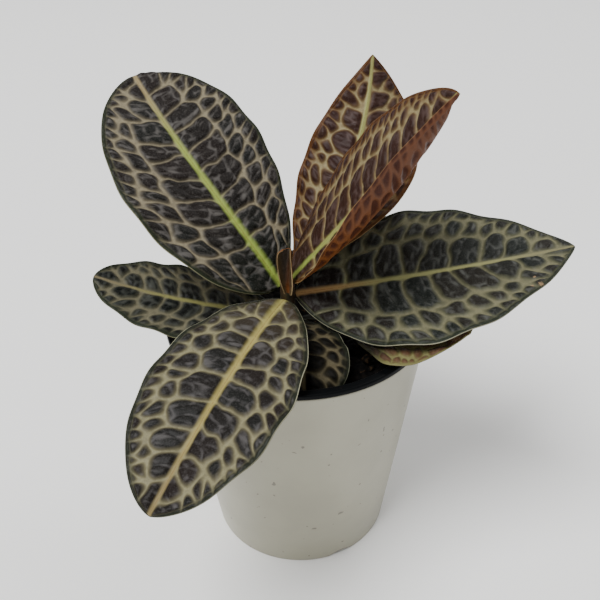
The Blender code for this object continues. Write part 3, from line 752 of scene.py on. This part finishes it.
class Nodes:
    """Adds nodes to a tree, linking or setting their inputs by name or number."""

    def __init__(self, tree):
        self.tree = tree

    def add(self, kind, inputs=(), **settings):
        node = self.tree.nodes.new(kind)
        for key, value in settings.items():
            setattr(node, key, value)
        for key, value in dict(inputs).items():
            if isinstance(value, bpy.types.NodeSocket):
                self.link(value, node.inputs[key])
            else:
                node.inputs[key].default_value = value
        return node

    def link(self, value, socket):
        self.tree.links.new(value, socket)

    def measure(self, name):
        return self.add("ShaderNodeAttribute", attribute_name=name).outputs["Fac"]

    def math(self, operation, a, b):
        return self.add("ShaderNodeMath", {0: a, 1: b}, operation=operation).outputs[0]

    def times(self, a, b):
        return self.math("MULTIPLY", a, b)

    def ramp(self, value, low, high, start=0.0, end=1.0):
        """Goes smoothly from start at low to end at high."""
        return self.add("ShaderNodeMapRange", {0: value, 1: low, 2: high, 3: start, 4: end},
                        interpolation_type="SMOOTHSTEP").outputs[0]

    def mix(self, factor, a, b):
        return self.add("ShaderNodeMix", {0: factor, 6: a, 7: b}, data_type="RGBA").outputs[2]

    def noise(self, size, detail=2.0, stretch=None):
        """Noise over the object's own metres; size is the width of a blotch."""
        place = self.add("ShaderNodeTexCoord").outputs["Object"]
        if stretch:
            place = self.add("ShaderNodeMapping", {0: place, 3: stretch}).outputs[0]
        return self.noise_at(place, 1 / size, detail)

    def noise_at(self, place, scale, detail):
        return self.add("ShaderNodeTexNoise", {"Vector": place, "Scale": scale,
                                               "Detail": detail}).outputs[0]


def group(name, inputs, outputs):
    """An empty node group with the named sockets, its builder, and its input and output nodes."""
    tree = bpy.data.node_groups.new(name, "ShaderNodeTree")
    for direction, sockets in (("INPUT", inputs), ("OUTPUT", outputs)):
        for key, kind in sockets:
            tree.interface.new_socket(key, in_out=direction, socket_type=kind)
    n = Nodes(tree)
    return tree, n, n.add("NodeGroupInput").outputs, n.add("NodeGroupOutput").inputs


def socket_name(field):
    """A finish's field as the name of the skin's input: cell_base becomes Cell base."""
    return field.name.replace("_", " ").capitalize()


def paint_cells(n, given, at, grain):
    """Cells of two tones, other ones near the leaf's base, under a haze: threads along the fine
    veins, and painted sheen on the puffed cells, as grains and as streaks that run with the side
    veins, kept off the cells' edges. The cells near the base are partly the leaf's own tint there
    and partly painted shade near the stem."""
    sparse = n.ramp(n.noise(0.005, 1.0), 0.42, 0.64, 0.0, 0.5)
    threads = n.times(n.ramp(at["fine"], -0.25, 0.85, 1.0, 0.0), sparse)
    place = n.add("ShaderNodeCombineXYZ", {0: n.times(at["run"], 0.36),
                                           1: n.times(at["across"], 0.13),
                                           2: n.times(at["tone"], 20.0)}).outputs[0]
    # painted sheen: pale streaks along the middles of the puffed cells, kept off their edges
    sheen_streaks = n.ramp(n.noise_at(place, 1.0, 0.6), 0.53, 0.78, 0.0, 0.54)
    sheen_streaks = n.times(sheen_streaks, n.ramp(at["net"], 0.6, 1.8))
    cell = n.mix(at["tone"], given["Cell"], given["Cell other"])
    # partly the leaf's own tint near the base, partly painted shade near the stem
    cell = n.mix(n.ramp(at["along"], 0.05, 0.4, 0.9, 0.0), cell, given["Cell base"])
    # painted sheen: pale glints of grain on the cells
    cell = n.mix(n.times(n.ramp(grain, 0.45, 0.8), 0.24), cell, given["Haze"])
    return n.mix(n.math("MAXIMUM", threads, sheen_streaks), cell, given["Haze"])


def paint_net(n, given, at, face, grain, blotch):
    """The raised net, finer near the margin: a core with a softer skirt, tinted like the midrib
    near it and like the edge near the margin."""
    wide = n.math("ADD", given["Vein"], n.ramp(blotch, 0.35, 0.65, -0.1, 0.1))
    from_vein = n.times(n.math("SUBTRACT", at["net"], wide), n.ramp(at["rim"], 0.5, 9.0, 1.9, 1.0))
    from_vein = n.times(from_vein, given["Sharp"])
    core = n.ramp(from_vein, -0.5, 1.0, 1.0, 0.0)
    skirt = n.ramp(from_vein, 0.35, 2.3, 1.0, 0.0)
    halo = n.times(n.ramp(at["across"], 1.0, 9.0, 1.0, 0.0),
                   n.ramp(at["along"], 0.1, 0.75, 1.0, 0.0))
    near_edge = n.ramp(at["rim"], 1.2, given["Reach"], 0.75, 0.0)
    net = n.mix(n.ramp(n.noise(0.0025), 0.3, 0.6, 0.4, 0.0), given["Net"], given["Net edge"])
    net = n.mix(n.times(halo, given["Halo"]), net, given["Rib middle"])
    net = n.mix(near_edge, net, given["Edge"])
    face = n.mix(skirt, face, n.mix(near_edge, given["Net edge"], given["Edge"]))
    face = n.mix(core, face, net)
    return n.mix(n.times(n.ramp(grain, 0.3, 0.7, 0.25, 0.0), core), face, given["Net edge"])


def paint_midrib(n, given, at, face, grain):
    """The midrib, which changes colour from base to tip, with a thin brown line in its middle."""
    rib = n.mix(n.ramp(at["along"], 0.08, 0.36), given["Rib base"], given["Rib middle"])
    rib = n.mix(n.ramp(at["along"], 0.55, 0.95), rib, given["Rib tip"])
    line = n.times(n.ramp(at["rib"], 0.08, 0.3, 0.45, 0.0), n.ramp(grain, 0.3, 0.6))
    rib = n.mix(line, rib, RIB_LINE_BROWN)
    return n.mix(n.ramp(at["rib"], 0.1, 1.7, 1.0, 0.0), face, rib)


def paint_margin(n, given, at, face, blotch):
    """The band along the margin, uneven inwards, and the thin pale rim outside it."""
    uneven = n.math("ADD", at["rim"], n.ramp(blotch, 0.3, 0.7, -0.5, 0.5))
    face = n.mix(n.times(n.ramp(uneven, 0.7, 1.8, 1.0, 0.0), 0.9), face, given["Edge"])
    rim = n.times(n.ramp(at["rim"], 0.04, 0.16, 1.0, 0.0), n.ramp(at["along"], 0.4, 0.8, 1.0, 0.35))
    return n.mix(rim, face, given["Rim"])


def paint_base_shade_and_dry_spots(n, given, at, face, grain):
    """Painted shade that darkens the leaf's base, where it lies under another leaf, and dry spots
    with a ragged edge.
    """
    shade = n.times(n.ramp(at["along"], 0.55, 0.74, 1.0, 0.0), given["Shade"])
    face = n.mix(shade, face, given["Cell base"])
    patch = n.ramp(n.math("ADD", at["dry"], n.ramp(grain, 0.3, 0.7, -0.2, 0.2)), 0.3, 0.7)
    return n.mix(n.times(patch, 0.8), face, DRY_BROWN)


def paint_underside(n, given, at, grain):
    """The underside, with its own cells and the midrib's keel."""
    plain = n.mix(n.ramp(at["along"], 0.25, 0.85), given["Under"], given["Under tip"])
    below = n.mix(n.ramp(at["net"], 0.1, 1.4), plain, given["Under cell"])
    below = n.mix(n.times(n.ramp(grain, 0.3, 0.8), 0.3), below, plain)
    return n.mix(n.ramp(at["rib"], 0.8, 1.5, 1.0, 0.0), below, given["Rib base"])


def leaf_skin_group():
    """Paints a leaf from the measures on its points. Net, fine, rim, across and run are distances
    in millimetres, rib is in half widths of the midrib, and along is a share of its length."""
    inputs = [(socket_name(field), COLOUR if field.type is tuple else NUMBER)
              for field in SKIN_FIELDS]
    tree, n, given, out = group("leaf skin", inputs, [("Colour", COLOUR), ("Roughness", NUMBER),
                                                      ("Height", NUMBER)])
    at = {name: n.measure(name) for name in SKIN_MEASURES}
    blotch, grain = n.noise(0.004), n.noise(0.0006, 3.0)
    face = paint_cells(n, given, at, grain)
    face = paint_net(n, given, at, face, grain, blotch)
    face = paint_midrib(n, given, at, face, grain)
    face = paint_margin(n, given, at, face, blotch)
    face = paint_base_shade_and_dry_spots(n, given, at, face, grain)
    n.link(n.mix(at["under"], face, paint_underside(n, given, at, grain)), out["Colour"])
    n.link(n.ramp(grain, 0.2, 0.8, 0.42, 0.56), out["Roughness"])
    lumps = n.times(n.ramp(at["fine"], 0.0, 1.0), 0.5)
    n.link(n.math("ADD", n.times(grain, 0.7), lumps), out["Height"])
    return tree


def new_material(name):
    """A new material, its nodes' builder and its Principled shader."""
    made = bpy.data.materials.new(name)
    made.use_nodes = True
    return made, Nodes(made.node_tree), made.node_tree.nodes["Principled BSDF"]


def feed(n, shader, colour, roughness, bump, gloss=0.5):
    """Gives the shader its colour, roughness and specular level, and a bump of (height, distance in
    metres, strength)."""
    height, distance, strength = bump
    raised = n.add("ShaderNodeBump", {"Height": height, "Distance": distance, "Strength": strength})
    n.link(colour, shader.inputs["Base Color"])
    n.link(roughness, shader.inputs["Roughness"])
    n.link(raised.outputs[0], shader.inputs["Normal"])
    shader.inputs["Specular IOR Level"].default_value = gloss


def leaf_material(leaf, skin):
    """The leaf skin in the leaf's own finish."""
    made, n, shader = new_material(leaf.name + "_skin")
    painted = n.add("ShaderNodeGroup", node_tree=skin)
    for field in SKIN_FIELDS:
        value = getattr(leaf.finish, field.name)
        value = paint(*value) if field.type is tuple else value
        painted.inputs[socket_name(field)].default_value = value
    feed(n, shader, painted.outputs["Colour"], painted.outputs["Roughness"],
         (painted.outputs["Height"], 0.0002, 0.6), leaf.finish.gloss)
    return made


def plastic_material(name, colour, worn, roughness, speck, gloss=0.5):
    """Moulded plastic: a little mottled, faintly orange-peeled, with specks of dirt."""
    made, n, shader = new_material(name)
    mottle = n.noise(0.03, 3.0)
    tint = n.mix(n.ramp(mottle, 0.3, 0.7), colour, worn)
    dots = n.ramp(n.noise(0.0026, 0.0), 0.80, 0.83)
    feed(n, shader, n.mix(n.times(dots, speck), tint, DIRT),
         n.ramp(mottle, 0.2, 0.8, roughness, roughness + 0.08), (n.noise(0.0012), 0.00004, 0.4),
         gloss)
    return made


def crumb_material(name, dark, light, size):
    """Damp potting mix: dark crumbs of the given size with lighter fibres."""
    made, n, shader = new_material(name)
    crumbs = n.noise(size, 6.0)
    feed(n, shader, n.mix(n.ramp(crumbs, 0.42, 0.72), dark, light),
         n.ramp(crumbs, 0.3, 0.7, 0.95, 0.7), (crumbs, 0.0006, 1.0), 0.12)
    return made


def stem_material():
    """Olive bark, browner in upright patches, painted darker than the bark's own colour as painted
    shade under the leaves.
    """
    made, n, shader = new_material("stem_skin")
    patches = n.noise(0.003, 4.0, (1, 1, 0.4))
    feed(n, shader, n.mix(n.ramp(patches, 0.35, 0.7), paint(52, 38, 22), paint(44, 42, 24)),
         n.ramp(patches, 0.3, 0.7, 0.45, 0.65), (patches, 0.0003, 0.7))
    return made


# Stage

def floor():
    """A wide pale floor at the pot's foot."""
    mesh = bpy.data.meshes.new("floor")
    corners = np.array([(-1, -1, 0), (1, -1, 0), (1, 1, 0), (-1, 1, 0)]) * FLOOR_REACH
    mesh.from_pydata(corners.tolist(), [], [(0, 1, 2, 3)])
    made, _, shader = new_material("floor_paint")
    shader.inputs["Base Color"].default_value = FLOOR_COLOUR
    shader.inputs["Roughness"].default_value = 0.9
    mesh.materials.append(made)
    plane = bpy.data.objects.new("floor", mesh)
    bpy.context.scene.collection.objects.link(plane)


def pose(x_axis, y_axis, z_axis, place):
    """A place and three axes as one matrix."""
    matrix = Matrix.Identity(4)
    for column, vector in enumerate((x_axis, y_axis, z_axis, place)):
        for row in range(3):
            matrix[row][column] = vector[row]
    return matrix


def area_light(name, place, size, power):
    """A round light that faces the middle of the plant."""
    data = bpy.data.lights.new(name, "AREA")
    data.shape = "DISK"
    data.size = size
    data.energy = power
    light = bpy.data.objects.new(name, data)
    bpy.context.scene.collection.objects.link(light)
    back = np.subtract(place, LIGHTS_TARGET)
    back = back / np.linalg.norm(back)
    side = np.cross((0, 0, 1), back)
    side = side / np.linalg.norm(side)
    light.matrix_world = pose(side, np.cross(back, side), back, place)


def lights():
    """Even daylight from all round, a large window light and a weaker one across from it."""
    world = bpy.data.worlds.new("soft_daylight")
    world.use_nodes = True
    background = world.node_tree.nodes["Background"]
    background.inputs["Color"].default_value = (1, 1, 1, 1)
    background.inputs["Strength"].default_value = DAYLIGHT
    bpy.context.scene.world = world
    for light in LIGHTS:
        area_light(*light)


def camera():
    """Looks down on the pot from the front, tilted a little."""
    pitch, tilt = np.radians(CAMERA_PITCH), np.radians(CAMERA_TILT)
    ahead = np.array([0, np.cos(pitch), -np.sin(pitch)])
    right = np.array([1.0, 0, 0])
    down = np.cross(ahead, right)
    across = np.cos(tilt) * right + np.sin(tilt) * down
    downward = np.cos(tilt) * down - np.sin(tilt) * right
    data = bpy.data.cameras.new("camera")
    data.sensor_width = SENSOR_WIDTH
    data.lens = FOCAL_PIXELS / PICTURE_PIXELS * SENSOR_WIDTH
    view = bpy.data.objects.new("camera", data)
    bpy.context.scene.collection.objects.link(view)
    view.matrix_world = pose(across, -downward, -ahead, CAMERA_PLACE)
    bpy.context.scene.camera = view


def plain(box):
    """A box's two corners as plain lists of numbers."""
    return [[float(value) for value in corner] for corner in box]


def main():
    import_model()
    camera()
    lights()
    floor()
    skin = leaf_skin_group()
    for leaf in LEAVES:
        leaf_piece(leaf, leaf_material(leaf, skin))
    white_pot(plastic_material("white_plastic", paint(160, 157, 138), paint(153, 150, 132),
                               roughness=0.32, speck=0.6))
    nursery_pot(plastic_material("black_plastic", paint(6, 7, 8), paint(10, 12, 14),
                                 roughness=0.35, speck=0.1, gloss=0.06))
    soil(crumb_material("potting_mix", paint(5, 4, 4), paint(24, 19, 15), size=0.004))
    potting_bits(crumb_material("bark", paint(11, 9, 6), paint(68, 50, 31), size=0.002))
    stem(stem_material())


main()
